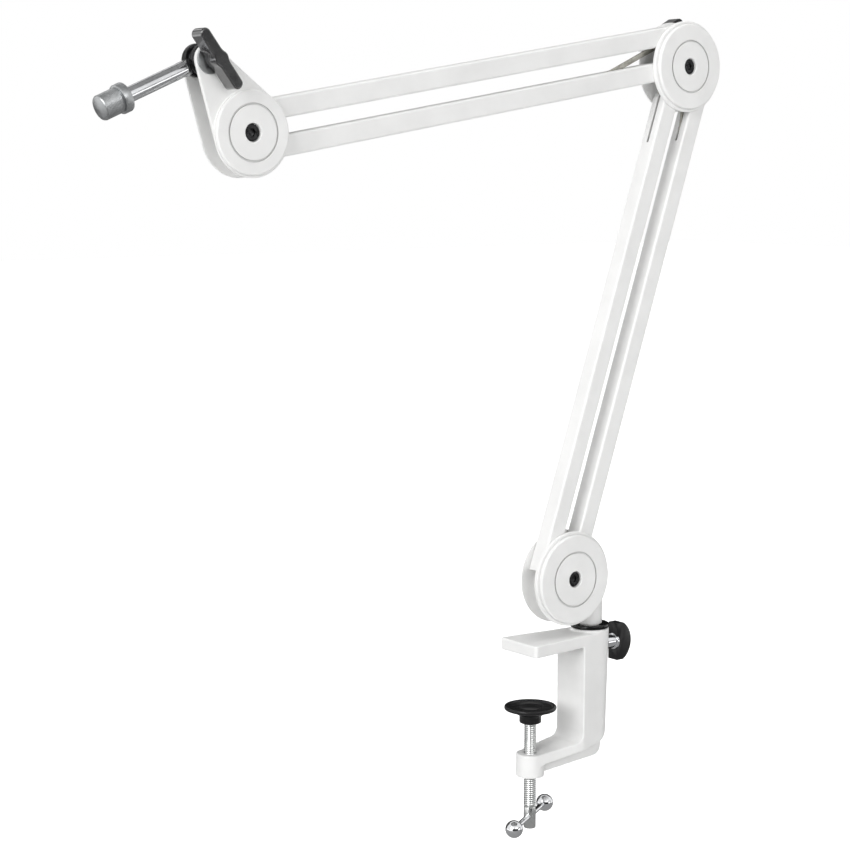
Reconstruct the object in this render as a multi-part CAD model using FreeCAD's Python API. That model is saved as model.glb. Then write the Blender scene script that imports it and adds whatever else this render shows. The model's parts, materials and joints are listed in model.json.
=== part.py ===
import FreeCAD, Part
import math
import os

# Spring-balanced microphone boom arm on a desk clamp. Millimetres and degrees.
# Origin: underside of the upper jaw, on the axis of the clamp screw. +Z up.
# The arm lies in the plane Y = 0 and reaches towards -X. -Y is the front.

# Desk clamp
jaw_width = 40.0
jaw_thickness = 8.6
jaw_reach = 12.2            # tip of the jaw, beyond the screw axis
jaw_corner = 2.5
throat_depth = 38.3         # screw axis to the web
throat_height = 74.3        # jaw to the top of the screw boss
throat_fillet = 7.0
web_width = 30.0
web_taper_height = 65.4     # height of the tapered socket column
web_foot_depth = 29.5       # depth of the web where it turns into the lower arm
lower_arm_thickness = 8.4
lower_arm_slope = 3.5       # fall of the lower arm from the web to the boss
heel_radius = 18.0
rib_width = 9.0
rib_depth = 11.0            # how far the stiffening rib stands below the lower arm's heel
rib_reach = 64.5            # screw axis to the back of the rib
rib_corner = 7.0
rib_rise = 1.0              # rib's lower edge at the boss, above the boss's end
rib_root = 4.0              # rib's root inside the web
column_lap = 6.0            # lower arm's root inside the column
screw_boss_radius = 10.3
screw_boss_height = 16.9
column_top_radius = 14.1
column_foot_radius = 12.4
socket_rim = 2.0            # rise of the socket's rim above the jaw
socket_edge = 1.2
post_offset = 56.5          # screw axis to post axis

# Clamp screw, pad and tommy bar
screw_radius = 4.4
screw_end = 130.1
pad_radius = 18.8
pad_rim = 2.6
pad_dish = 0.8              # shallow recess in the pad's face
pad_land = 3.4
pad_cone = 4.2
pad_hub_radius = 7.9
pad_hub_height = 5.7
pad_drop = 39.6             # pad face below the jaw, as stored
pad_socket = 9.0
tommy_drop = 121.4          # tommy bar axis below the jaw
tommy_radius = 2.0
tommy_span = 66.0           # between ball centres
tommy_angle = 30.0
ball_radius = 6.3
ball_bite = 2.5             # bar's end, past a ball's centre

# Post, socket bush and thumb screw
post_radius = 9.0
shank_radius = 7.0
shank_length = 52.0
tongue_radius = 21.0        # tongue between the base discs
tongue_rise = 6.0           # tongue's top, above the base bolt
tongue_play = 1.5           # round the turning tube ends
bush_wall = 1.15
bush_flange_radius = 14.1
bush_flange = 3.0
bush_length = 53.0
lock_drop = 3.7             # thumb screw axis below the jaw's underside
lock_radius = 3.0
lock_tip_radius = 2.6
lock_tip_length = 3.0
lock_bite = 6.0             # screw's end inside the wing
ferrule_radius = 5.0
ferrule_length = 10.3
ferrule_flange_radius = 6.0
ferrule_flange = 2.4
ferrule_edge = 0.6
ferrule_gap = 0.6
wing_half_height = 13.8
wing_end = 6.6              # width of the wing at its two ends
wing_bulge = 7.5
wing_width = 9.5
wing_start = 8.5            # flat side of the wing, from the ferrule's inner end

# Fits
overrun = 1.0               # how far a cutting shape passes the face it opens
running = 0.05              # round running fits, radial
side_play = 0.25            # beside tubes, blocks and washers
face_play = 0.2             # between a turning knob and its washer
post_play = 0.3
tip_play = 0.3

# Joint discs
disc_thickness = 5.5
disc_edge = 1.0
disc_lip = 2.3              # flange that stands out behind a front disc's face
plain_lip = 0.6             # the same on the head discs
lip_depth = 2.9             # a front disc's face, above its flange
rear_lip_depth = 4.1        # the same on a rear disc
rear_face_radius = 28.0     # raised middle of a rear disc
base_disc_radius = 34.3
elbow_disc_radius = 32.7
base_rear_radius = 34.0
elbow_rear_radius = 32.4
head_disc_radius = 26.9
head_rear_radius = 21.0
base_groove = 19.65
elbow_groove = 18.4
head_groove = 17.7
groove_width = 1.4
groove_depth = 1.1
recess_radius = 5.9
recess_depth = 4.1
recess_edge = 0.5

# Arm tubes
tube_size = 13.5
tube_wall = 1.25
tube_corner = 1.6
tube_overhang = 9.6         # square end past the far pivot
nose_radius = 5.5           # rounded end at the elbow
nose_shoulder = 3.0
slot_width = 2.0
slot_reach = 37.4
strap_slot_reach = 42.5     # lower tube that takes the strap
long_slot_reach = 86.0
pivot_radius = 3.0
bush_radius = 4.5
bush_depth = 3.0
stub_seat = 2.2
stub_bite = 2.8

# Linkage, as it stands in the photograph
base_centre_x = 31.3
base_centre_z = 50.6
lower_span = 349.0
lower_lean = 19.05
upper_span = 368.0
upper_rise = 9.6
base_left_x = -18.6         # lower pivots, from the base disc's centre
base_left_z = 15.0
lower_pair_x = 30.5         # from the left pivot to the right one
lower_pair_z = 6.3
elbow_left_x = -12.0        # upper end of the left tube, from the elbow's centre
elbow_left_z = -21.3
upper_pair = 24.3           # top tube pivot above the elbow's centre bolt
head_pivot_x = 14.5         # bottom tube pivot, from the head disc's centre
head_pivot_z = -10.1
anchor_x = 9.5              # lower strap's anchor pin, from the elbow's centre
anchor_z = -2.0
anchor_radius = 2.0

# Springs and straps
strap_width = 3.5
strap_thickness = 1.5
strap_eye = 4.2
upper_strap_length = 80.0
upper_strap_aim = 89.0      # where it meets the bottom tube's axis, from the elbow
lower_strap_length = 54.0
lower_strap_aim = 56.0
hook_hole = 1.0
spring_radius = 4.7
spring_bore = 3.2
upper_spring_start = 104.0
lower_spring_start = 62.0
spring_block = 14.0         # length of the block that anchors a spring
spring_block_inset = 11.0   # block's end, from the far pivot
block_fit = 0.1

# Bolts and nuts
bolt_head_radius = 5.3
bolt_head_height = 2.3
socket_across = 4.6
socket_depth = 1.6
nut_across = 9.0
nut_height = 2.5
washer_thickness = 1.2
washer_radius = 8.8
elbow_washer_radius = 5.4
hidden_head_radius = 5.0
hidden_head_height = 1.8
dome_radius = 6.5
dome_height = 3.6

# T-knobs
knob_half_length = 21.8
knob_half_width = 3.6
knob_hub_radius = 5.0
knob_blend = 8.0
knob_depth = 11.6
knob_neck = 1.6
knob_edge = 1.0
knob_bore_depth = 8.0
head_knob_angle = 52.5      # lean of the bar below the horizontal
elbow_knob_angle = -28.5

# Microphone head
plate_thickness = 2.1
plate_end_radius = 9.8
plate_foot_radius = 27.0
plate_foot_x = 1.75         # centre of the plate's round foot, from the head disc's centre
plate_foot_z = -1.0
plate_edge = 0.7
stud_pivot_x = -28.96       # from the head disc's centre
stud_pivot_z = 43.6
spacer_radius = 5.5
stud_dip = 23.3
stud_reach = 77.0
rod_radius = 4.75
rod_start = 12.2            # round part of the rod, from the stud's pivot
rod_shoulder = 1.8
tongue_half = 4.5
eye_thickness = 4.8
eye_radius = 8.0
eye_play = 0.1
friction_radius = 10.4
thread_radius = 7.94        # 5/8 inch microphone thread
thread_length = 13.4
collar_radius = 9.25
collar_length = 5.6
collar_edge = 0.5

# Sizes that follow
half_gap = tube_size / 2 + side_play
half_depth = half_gap + disc_thickness
plate_face = half_gap + plate_thickness
base = (base_centre_x, base_centre_z)
base_left = (base[0] + base_left_x, base[1] + base_left_z)
base_right = (base_left[0] + lower_pair_x, base_left[1] + lower_pair_z)
lean = math.radians(lower_lean)
rise = math.radians(upper_rise)
elbow_left = (base_left[0] + lower_span * math.sin(lean), base_left[1] + lower_span * math.cos(lean))
elbow_right = (elbow_left[0] + lower_pair_x, elbow_left[1] + lower_pair_z)
elbow = (elbow_left[0] - elbow_left_x, elbow_left[1] - elbow_left_z)
elbow_top = (elbow[0], elbow[1] + upper_pair)
anchor = (elbow[0] + anchor_x, elbow[1] + anchor_z)
head_low = (elbow[0] - upper_span * math.cos(rise), elbow[1] - upper_span * math.sin(rise))
head_high = (head_low[0], head_low[1] + upper_pair)
head = (head_low[0] - head_pivot_x, head_low[1] - head_pivot_z)
stud_pivot = (head[0] + stud_pivot_x, head[1] + stud_pivot_z)
plate_foot = (head[0] + plate_foot_x, head[1] + plate_foot_z)
lower_turn = 90.0 + lower_lean
upper_turn = 180.0 - upper_rise
bush_bore = shank_radius + running
socket_radius = bush_bore + bush_wall
jaw_top = jaw_thickness
socket_top = jaw_top + socket_rim
boss_foot = -throat_height - screw_boss_height


def at(x, y, z):
    return FreeCAD.Vector(x, y, z)


def export(name, shape):
    shape.exportStep("parts/" + name + ".step")


def lines(points):
    wire = Part.makePolygon(points + [points[0]])
    return Part.Face(wire)


def pin(place, radius, y0, y1):
    # a round bar along Y
    return Part.makeCylinder(radius, y1 - y0, at(place[0], y0, place[1]), at(0, 1, 0))


def hexagon(place, across, y0, y1):
    corner = across / math.sqrt(3)
    turns = [math.radians(60 * k) for k in range(6)]
    points = [at(place[0] + corner * math.cos(t), y0, place[1] + corner * math.sin(t)) for t in turns]
    return lines(points).extrude(at(0, y1 - y0, 0))


def turned(shape, angle, place):
    # a shape drawn along +X from the origin, turned in the arm's plane and set on a pivot
    copy = shape.copy()
    copy.rotate(at(0, 0, 0), at(0, 1, 0), angle)
    copy.translate(at(place[0], 0, place[1]))
    return copy


def to_back(shape, place):
    # the rear twin of a front piece
    copy = shape.copy()
    copy.rotate(at(place[0], 0, place[1]), at(0, 0, 1), 180)
    return copy


def tangent_point(x, y, cx, radius):
    # where a line from (x, y) touches a circle about (cx, 0), on the side of y
    side = math.copysign(1, y)
    away = math.hypot(x - cx, y)
    turn = math.atan2(y, x - cx) - side * math.acos(radius / away)
    return cx + radius * math.cos(turn), radius * math.sin(turn)


def column_wire(radius, z):
    half = web_width / 2
    tx, ty = tangent_point(throat_depth, half, post_offset, radius)
    sides = [
        Part.LineSegment(at(throat_depth, -half, z), at(throat_depth, half, z)),
        Part.LineSegment(at(throat_depth, half, z), at(tx, ty, z)),
        Part.Arc(at(tx, ty, z), at(post_offset + radius, 0, z), at(tx, -ty, z)),
        Part.LineSegment(at(tx, -ty, z), at(throat_depth, -half, z)),
    ]
    return Part.Wire([side.toShape() for side in sides])


def clamp_jaw():
    half = jaw_width / 2
    inner = web_width / 2
    points = [
        at(-jaw_reach, -half, 0),
        at(throat_depth, -inner, 0),
        at(throat_depth, inner, 0),
        at(-jaw_reach, half, 0),
    ]
    jaw = lines(points).extrude(at(0, 0, jaw_thickness))
    tips = [e for e in jaw.Edges if e.BoundBox.ZLength > 1 and e.BoundBox.XMax < 0]
    return jaw.makeFillet(jaw_corner, tips)


def clamp_lower_arm():
    top = -throat_height
    root = top + lower_arm_slope
    foot = throat_depth + web_foot_depth
    heel = foot - heel_radius
    under = root - lower_arm_thickness / 2
    neck = jaw_top - web_taper_height + column_lap
    bend = math.sqrt(0.5)
    bend_in = throat_fillet * (1 - bend)
    edges = [
        Part.LineSegment(at(throat_depth, 0, neck), at(throat_depth, 0, root + throat_fillet)),
        Part.Arc(at(throat_depth, 0, root + throat_fillet),
                 at(throat_depth - bend_in, 0, root + bend_in),
                 at(throat_depth - throat_fillet, 0, root)),
        Part.LineSegment(at(throat_depth - throat_fillet, 0, root), at(0, 0, top)),
        Part.LineSegment(at(0, 0, top), at(0, 0, top - lower_arm_thickness)),
        Part.LineSegment(at(0, 0, top - lower_arm_thickness), at(heel, 0, under)),
        Part.Arc(at(heel, 0, under),
                 at(foot - heel_radius * (1 - bend), 0, under + heel_radius * (1 - bend)),
                 at(foot, 0, under + heel_radius)),
        Part.LineSegment(at(foot, 0, under + heel_radius), at(foot, 0, neck)),
        Part.LineSegment(at(foot, 0, neck), at(throat_depth, 0, neck)),
    ]
    side = Part.Face(Part.Wire([e.toShape() for e in edges]))
    half = web_width / 2
    side.translate(at(0, -half, 0))
    arm = side.extrude(at(0, web_width, 0))
    plan = [
        at(0, -screw_boss_radius, boss_foot), at(throat_depth, -half, boss_foot),
        at(post_offset, -column_foot_radius, boss_foot), at(post_offset, column_foot_radius, boss_foot),
        at(throat_depth, half, boss_foot), at(0, screw_boss_radius, boss_foot),
    ]
    rounded = Part.makeCylinder(column_foot_radius, jaw_top - boss_foot, at(post_offset, 0, boss_foot))
    return arm.common(lines(plan).extrude(at(0, 0, jaw_top - boss_foot)).fuse(rounded))


def clamp_rib():
    root = throat_depth + rib_root
    top = -throat_height - lower_arm_thickness / 2
    crown = jaw_top - web_taper_height + rib_rise
    under = -throat_height + lower_arm_slope - lower_arm_thickness / 2 - rib_depth
    tip = boss_foot + rib_rise
    bend = rib_corner * (1 - math.sqrt(0.5))
    edges = [
        Part.LineSegment(at(0, 0, top), at(0, 0, tip)),
        Part.LineSegment(at(0, 0, tip), at(rib_reach - rib_corner, 0, under)),
        Part.Arc(at(rib_reach - rib_corner, 0, under),
                 at(rib_reach - bend, 0, under + bend),
                 at(rib_reach, 0, under + rib_corner)),
        Part.LineSegment(at(rib_reach, 0, under + rib_corner), at(rib_reach, 0, crown)),
        Part.LineSegment(at(rib_reach, 0, crown), at(root, 0, crown)),
        Part.LineSegment(at(root, 0, crown), at(root, 0, -throat_height + lower_arm_slope)),
        Part.LineSegment(at(root, 0, -throat_height + lower_arm_slope), at(0, 0, top)),
    ]
    side = Part.Face(Part.Wire([e.toShape() for e in edges]))
    side.translate(at(0, -rib_width / 2, 0))
    return side.extrude(at(0, rib_width, 0))


def clamp_frame():
    web_foot = jaw_top - web_taper_height
    column = Part.makeLoft([column_wire(column_top_radius, jaw_top),
                            column_wire(column_foot_radius, web_foot)], True, True)
    boss = Part.makeCylinder(screw_boss_radius, screw_boss_height, at(0, 0, boss_foot))
    rim = Part.makeCylinder(column_top_radius, socket_rim + overrun, at(post_offset, 0, jaw_top - overrun))
    rim = rim.makeFillet(socket_edge, [e for e in rim.Edges if e.BoundBox.ZMin > socket_top - 0.01])
    frame = clamp_jaw().fuse([column, clamp_lower_arm(), clamp_rib(), boss, rim]).removeSplitter()
    socket = Part.makeCylinder(socket_radius, bush_length + overrun,
                               at(post_offset, 0, socket_top - bush_length))
    screw_hole = Part.makeCylinder(screw_radius + running, screw_boss_height + 2 * overrun,
                                   at(0, 0, boss_foot - overrun))
    lock_hole = Part.makeCylinder(lock_radius + running, column_top_radius + overrun,
                                  at(post_offset, 0, -lock_drop), at(1, 0, 0))
    return frame.cut([socket, screw_hole, lock_hole])


def socket_bush():
    top = socket_top
    sleeve = Part.makeCylinder(socket_radius, bush_length, at(post_offset, 0, top - bush_length))
    flange = Part.makeCylinder(bush_flange_radius, bush_flange, at(post_offset, 0, top))
    bore = Part.makeCylinder(bush_bore, bush_length + bush_flange + 2 * overrun,
                             at(post_offset, 0, top - bush_length - overrun))
    lock_hole = Part.makeCylinder(lock_radius + running, socket_radius + overrun,
                                  at(post_offset, 0, -lock_drop), at(1, 0, 0))
    return sleeve.fuse(flange).cut([bore, lock_hole])


def screw_pad():
    top = -pad_drop
    inner = screw_radius + running
    cone = top - pad_rim - pad_cone
    hub = cone - pad_hub_height
    profile = [
        at(0, 0, top - pad_dish), at(pad_radius - pad_land, 0, top - pad_dish),
        at(pad_radius - pad_land + pad_dish, 0, top), at(pad_radius, 0, top),
        at(pad_radius, 0, top - pad_rim), at(pad_hub_radius, 0, cone), at(pad_hub_radius, 0, hub),
        at(inner, 0, hub), at(inner, 0, hub + pad_socket), at(0, 0, hub + pad_socket),
    ]
    return lines(profile).revolve(at(0, 0, 0), at(0, 0, 1), 360)


def screw_top():
    return -pad_drop - pad_rim - pad_cone - pad_hub_height + pad_socket - face_play


def clamp_screw():
    length = screw_top() + screw_end
    screw = Part.makeCylinder(screw_radius, length, at(0, 0, -screw_end))
    hole = Part.makeCylinder(tommy_radius + running, 4 * screw_radius, at(-2 * screw_radius, 0, -tommy_drop),
                             at(1, 0, 0))
    hole.rotate(at(0, 0, 0), at(0, 0, 1), tommy_angle)
    return screw.cut(hole)


def tommy(shape):
    shape.rotate(at(0, 0, 0), at(0, 0, 1), tommy_angle)
    shape.translate(at(0, 0, -tommy_drop))
    return shape


def tommy_rod():
    # the bar reaches to the far side of each ball's centre
    length = tommy_span + 2 * ball_bite
    return Part.makeCylinder(tommy_radius, length, at(-length / 2, 0, 0), at(1, 0, 0))


def tommy_bar():
    return tommy(tommy_rod())


def tommy_balls():
    # a ball turned about the bar's axis, with a blind hole for the bar
    deep = math.sqrt(ball_radius ** 2 - tommy_radius ** 2)
    profile = [
        Part.Arc(at(-deep, tommy_radius, 0), at(0, ball_radius, 0), at(ball_radius, 0, 0)),
        Part.LineSegment(at(ball_radius, 0, 0), at(ball_bite, 0, 0)),
        Part.LineSegment(at(ball_bite, 0, 0), at(ball_bite, tommy_radius, 0)),
        Part.LineSegment(at(ball_bite, tommy_radius, 0), at(-deep, tommy_radius, 0)),
    ]
    half = Part.Face(Part.Wire([p.toShape() for p in profile]))
    ball = half.revolve(at(0, 0, 0), at(1, 0, 0), 360)
    ball.translate(at(tommy_span / 2, 0, 0))
    return tommy(Part.makeCompound([ball, to_back(ball, (0, 0))]))


def lock_start():
    return post_offset + shank_radius + tip_play


def ferrule_start():
    return post_offset + column_top_radius + ferrule_gap


def along_lock(radius, x0, x1):
    return Part.makeCylinder(radius, x1 - x0, at(x0, 0, -lock_drop), at(1, 0, 0))


def lock_tip():
    return along_lock(lock_tip_radius, lock_start(), lock_start() + lock_tip_length)


def lock_screw():
    start = lock_start() + lock_tip_length
    return along_lock(lock_radius, start, ferrule_start() + ferrule_length + lock_bite)


def lock_ferrule():
    start = ferrule_start()
    body = along_lock(ferrule_radius, start, start + ferrule_length)
    end = start + ferrule_length
    flange = along_lock(ferrule_flange_radius, end - ferrule_flange, end)
    rims = [e for e in flange.Edges if e.BoundBox.XLength < 0.01]
    flange = flange.makeFillet(ferrule_edge, rims)
    hole = along_lock(lock_radius, start - overrun, end + overrun)
    return body.fuse(flange).removeSplitter().cut(hole)


def lock_knob():
    # flat towards the ferrule, bulged on the outer side
    inner = ferrule_start() + ferrule_length
    end = ferrule_start() + wing_start
    high = wing_half_height
    sides = [
        Part.LineSegment(at(end, 0, -high), at(end, 0, high)),
        Part.LineSegment(at(end, 0, high), at(end + wing_end, 0, high)),
        Part.Arc(at(end + wing_end, 0, high), at(end + wing_end + wing_bulge, 0, 0),
                 at(end + wing_end, 0, -high)),
        Part.LineSegment(at(end + wing_end, 0, -high), at(end, 0, -high)),
    ]
    face = Part.Face(Part.Wire([s.toShape() for s in sides]))
    face.translate(at(0, -wing_width / 2, -lock_drop))
    wing = face.extrude(at(0, wing_width, 0))
    seat = along_lock(ferrule_flange_radius, end - overrun, inner)
    bore = along_lock(lock_radius, inner - overrun, inner + lock_bite)
    return wing.cut([seat, bore])


def disc_profile(radius, rim, groove, thickness, step):
    # half section about the disc's axis: r along X, depth from the outer face along Y
    edge = rim - disc_edge
    half = groove_width / 2
    mouth = recess_radius + recess_edge
    floor = min(recess_depth, thickness)
    bend = 1 - math.sqrt(0.5)
    lip = min(step, thickness * 0.75)
    soft = min(disc_edge, radius - rim, thickness - lip) * 0.75
    points = [
        Part.LineSegment(at(pivot_radius, thickness, 0), at(radius, thickness, 0)),
        Part.LineSegment(at(radius, thickness, 0), at(radius, lip + soft, 0)),
        Part.Arc(at(radius, lip + soft, 0), at(radius - soft * bend, lip + soft * bend, 0),
                 at(radius - soft, lip, 0)),
        Part.LineSegment(at(radius - soft, lip, 0), at(rim, lip, 0)),
        Part.LineSegment(at(rim, lip, 0), at(rim, disc_edge, 0)),
        Part.Arc(at(rim, disc_edge, 0), at(rim - disc_edge * bend, disc_edge * bend, 0), at(edge, 0, 0)),
        Part.LineSegment(at(edge, 0, 0), at(groove + half, 0, 0)),
        Part.LineSegment(at(groove + half, 0, 0), at(groove + half, groove_depth, 0)),
        Part.LineSegment(at(groove + half, groove_depth, 0), at(groove - half, groove_depth, 0)),
        Part.LineSegment(at(groove - half, groove_depth, 0), at(groove - half, 0, 0)),
        Part.LineSegment(at(groove - half, 0, 0), at(mouth, 0, 0)),
        Part.Arc(at(mouth, 0, 0),
                 at(recess_radius + recess_edge * bend, recess_edge * bend, 0),
                 at(recess_radius, recess_edge, 0)),
    ]
    if floor < thickness:
        points += [
            Part.LineSegment(at(recess_radius, recess_edge, 0), at(recess_radius, floor, 0)),
            Part.LineSegment(at(recess_radius, floor, 0), at(pivot_radius, floor, 0)),
            Part.LineSegment(at(pivot_radius, floor, 0), at(pivot_radius, thickness, 0)),
        ]
    else:
        points[0] = Part.LineSegment(at(recess_radius, thickness, 0), at(radius, thickness, 0))
        points.append(Part.LineSegment(at(recess_radius, recess_edge, 0), at(recess_radius, thickness, 0)))
    return Part.Face(Part.Wire([p.toShape() for p in points]))


def front_disc(place, radius, rim, groove, thickness, step):
    profile = disc_profile(radius, rim, groove, thickness, step)
    disc = profile.revolve(at(0, 0, 0), at(0, 1, 0), 360)
    disc.translate(at(place[0], -half_depth, place[1]))
    return disc


def stub_holes(places, side):
    inner = half_gap
    outer = half_gap + stub_seat
    if side < 0:
        return [pin(p, pivot_radius, -outer, -inner) for p in places]
    return [pin(p, pivot_radius, inner, outer) for p in places]


def disc_pair(place, radius, rear_radius, groove, pivots):
    front = front_disc(place, radius, radius - disc_lip, groove, disc_thickness, lip_depth)
    rear = front_disc(place, rear_radius, rear_face_radius, groove, disc_thickness, rear_lip_depth)
    rear = to_back(rear, place)
    return front.cut(stub_holes(pivots, -1)), rear.cut(stub_holes(pivots, 1))


def pivot_stubs(pivots, seat):
    stubs = []
    for p in pivots:
        inner = half_gap - side_play - stub_bite
        stubs.append(pin(p, pivot_radius, -half_gap - seat, -inner))
        stubs.append(pin(p, pivot_radius, inner, half_gap + seat))
    return Part.makeCompound(stubs)


def centre_bolt(place):
    # socket-head bolt sunk in the front disc, its tip level with the rear nut
    seat = -half_depth + recess_depth
    head = pin(place, bolt_head_radius, seat - bolt_head_height, seat)
    shank = pin(place, pivot_radius, seat, half_depth - recess_depth + nut_height)
    top = seat - bolt_head_height
    socket = hexagon(place, socket_across, top - overrun, top + socket_depth)
    return head.fuse(shank).cut(socket)


def centre_nut(place):
    seat = half_depth - recess_depth
    nut = hexagon(place, nut_across, seat, seat + nut_height)
    return nut.cut(pin(place, pivot_radius, seat - overrun, half_depth))


def swivel_post():
    top = base[1] + tongue_rise
    sweep = math.hypot(tube_overhang, tube_size / 2) + tongue_play
    wide = 2 * tongue_radius
    tongue = pin(base, tongue_radius, -half_gap, half_gap)
    trim = Part.makeBox(2 * wide, 4 * half_gap, wide, at(base[0] - wide, -2 * half_gap, top))
    ends = [pin(p, sweep, -half_depth, half_depth) for p in (base_left, base_right)]
    tongue = tongue.cut([trim] + ends)
    foot = socket_top + bush_flange + post_play
    post = Part.makeCylinder(post_radius, top - foot, at(post_offset, 0, foot))
    shank = Part.makeCylinder(shank_radius, shank_length, at(post_offset, 0, foot - shank_length))
    room = base_disc_radius + side_play
    far = half_depth + overrun
    pockets = [pin(base, room, -far, -half_gap), pin(base, room, half_gap, far)]
    body = post.cut(pockets).fuse([tongue, shank]).removeSplitter()
    return body.cut(pin(base, pivot_radius, -half_gap - overrun, half_gap + overrun))


def square(size, corner, x0, x1):
    half = size / 2
    box = Part.makeBox(x1 - x0, size, size, at(x0, -half, -half))
    if corner <= 0:
        return box
    longs = [e for e in box.Edges if e.BoundBox.XLength > size]
    return box.makeFillet(corner, longs)


def nose_outline(span):
    half = tube_size / 2
    end = span + tube_overhang
    sides = [
        Part.LineSegment(at(end, 0, half), at(nose_shoulder, 0, half)),
        Part.LineSegment(at(nose_shoulder, 0, half), at(0, 0, nose_radius)),
        Part.Arc(at(0, 0, nose_radius), at(-nose_radius, 0, 0), at(0, 0, -nose_radius)),
        Part.LineSegment(at(0, 0, -nose_radius), at(nose_shoulder, 0, -half)),
        Part.LineSegment(at(nose_shoulder, 0, -half), at(end, 0, -half)),
        Part.LineSegment(at(end, 0, -half), at(end, 0, half)),
    ]
    face = Part.Face(Part.Wire([s.toShape() for s in sides]))
    face.translate(at(0, -tube_size / 2, 0))
    return face.extrude(at(0, tube_size, 0))


def arm_tube(span, slot):
    # drawn from the elbow pivot along +X; the saw slot runs in from the rounded end
    end = span + tube_overhang
    bore = tube_size - 2 * tube_wall
    outer = square(tube_size, tube_corner, -nose_radius, end).common(nose_outline(span))
    inner = square(bore, max(tube_corner - tube_wall, 0), -nose_radius - overrun, end + overrun)
    cut = Part.makeBox(slot + nose_radius + overrun, slot_width, 2 * tube_size,
                       at(-nose_radius - overrun, -slot_width / 2, -tube_size))
    holes = [pin((x, 0), bush_radius, -tube_size, tube_size) for x in (0, span)]
    return outer.cut([inner, cut] + holes)


def tube_bushes(span):
    rings = []
    half = tube_size / 2
    for x in (0, span):
        for y in (-half, half - bush_depth):
            ring = pin((x, 0), bush_radius, y, y + bush_depth)
            rings.append(ring.cut(pin((x, 0), pivot_radius + running, y - overrun, y + bush_depth + overrun)))
    return Part.makeCompound(rings)


def spring_end(span):
    return span - spring_block_inset - spring_block


def arm_spring(span, start):
    # close-wound balance spring, hidden in the tube
    end = spring_end(span)
    coil = Part.makeCylinder(spring_radius, end - start, at(start, 0, 0), at(1, 0, 0))
    bore = Part.makeCylinder(spring_bore, end - start + 2 * overrun, at(start - overrun, 0, 0), at(1, 0, 0))
    return coil.cut(bore)


def spring_anchor(span):
    size = tube_size - 2 * tube_wall - 2 * block_fit
    return square(size, 0, spring_end(span), spring_end(span) + spring_block)


def strap(length, radius):
    half = strap_width / 2
    y = strap_thickness / 2
    bar = Part.makeBox(length, strap_thickness, strap_width, at(0, -y, -half))
    eye = pin((0, 0), strap_eye + radius - anchor_radius, -y, y)
    tip = pin((length, 0), half, -y, y)
    holes = [pin((0, 0), radius + running, -y - overrun, y + overrun)]
    holes.append(pin((length, 0), hook_hole, -y - overrun, y + overrun))
    return bar.fuse([eye, tip]).removeSplitter().cut(holes)


def aim(start, target):
    # turn that points a strap drawn along +X from start at target
    return math.degrees(math.atan2(start[1] - target[1], target[0] - start[0]))


def upper_strap_turn():
    target = (elbow[0] - upper_strap_aim * math.cos(rise), elbow[1] - upper_strap_aim * math.sin(rise))
    return aim(elbow_top, target)


def lower_strap_turn():
    target = (elbow_right[0] - lower_strap_aim * math.sin(lean),
              elbow_right[1] - lower_strap_aim * math.cos(lean))
    return aim(anchor, target)


def knob_outline():
    half = knob_half_width
    end = knob_half_length - half
    lift = half + knob_blend
    blend_x = math.sqrt((knob_hub_radius + knob_blend) ** 2 - lift ** 2)
    share = knob_hub_radius / (knob_hub_radius + knob_blend)
    hub_x = blend_x * share
    hub_z = lift * share
    fall = math.atan2(lift - hub_z, blend_x - hub_x) / 2 + math.pi / 4
    bow_x = blend_x - knob_blend * math.cos(fall)
    bow_z = lift - knob_blend * math.sin(fall)
    edges = []
    for side in (1, -1):
        edges += [
            Part.Arc(at(side * end, 0, side * half), at(side * knob_half_length, 0, 0),
                     at(side * end, 0, -side * half)),
            Part.LineSegment(at(side * end, 0, -side * half), at(side * blend_x, 0, -side * half)),
            Part.Arc(at(side * blend_x, 0, -side * half), at(side * bow_x, 0, -side * bow_z),
                     at(side * hub_x, 0, -side * hub_z)),
            Part.Arc(at(side * hub_x, 0, -side * hub_z), at(0, 0, -side * knob_hub_radius),
                     at(-side * hub_x, 0, -side * hub_z)),
            Part.Arc(at(-side * hub_x, 0, -side * hub_z), at(-side * bow_x, 0, -side * bow_z),
                     at(-side * blend_x, 0, -side * half)),
            Part.LineSegment(at(-side * blend_x, 0, -side * half), at(-side * end, 0, -side * half)),
        ]
    return Part.Face(Part.Wire([e.toShape() for e in edges]))


def t_knob(bolt):
    # grip bar with its back at y = 0 and its front towards -Y; the neck stands behind it
    grip = knob_outline().extrude(at(0, -knob_depth, 0))
    fronts = [e for e in grip.Edges if e.BoundBox.YLength < 0.01 and e.BoundBox.YMax < -knob_depth + 0.01]
    backs = [e for e in grip.Edges if e.BoundBox.YLength < 0.01 and e.BoundBox.YMin > -0.01]
    grip = grip.makeFillet(knob_edge, fronts + backs)
    neck = pin((0, 0), knob_hub_radius - knob_edge, -knob_edge, knob_neck)
    bore = pin((0, 0), bolt + running, -knob_bore_depth, knob_neck + overrun)
    return grip.fuse(neck).removeSplitter().cut(bore)


def washer(place, radius, y0):
    ring = pin(place, radius, y0, y0 + washer_thickness)
    return ring.cut(pin(place, pivot_radius, y0 - overrun, y0 + washer_thickness + overrun))


def knob_back(face):
    # distance of a grip bar's back from the arm's plane, from the face that its washer lies on
    return face + washer_thickness + face_play + knob_neck


def elbow_knob():
    knob = t_knob(pivot_radius)
    knob.rotate(at(0, 0, 0), at(0, 0, 1), 180)
    knob.translate(at(0, knob_back(half_depth), 0))
    return turned(knob, elbow_knob_angle, elbow_top)


def head_knob():
    knob = t_knob(pivot_radius)
    knob.translate(at(0, -knob_back(plate_face), 0))
    return turned(knob, head_knob_angle, stud_pivot)


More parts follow.
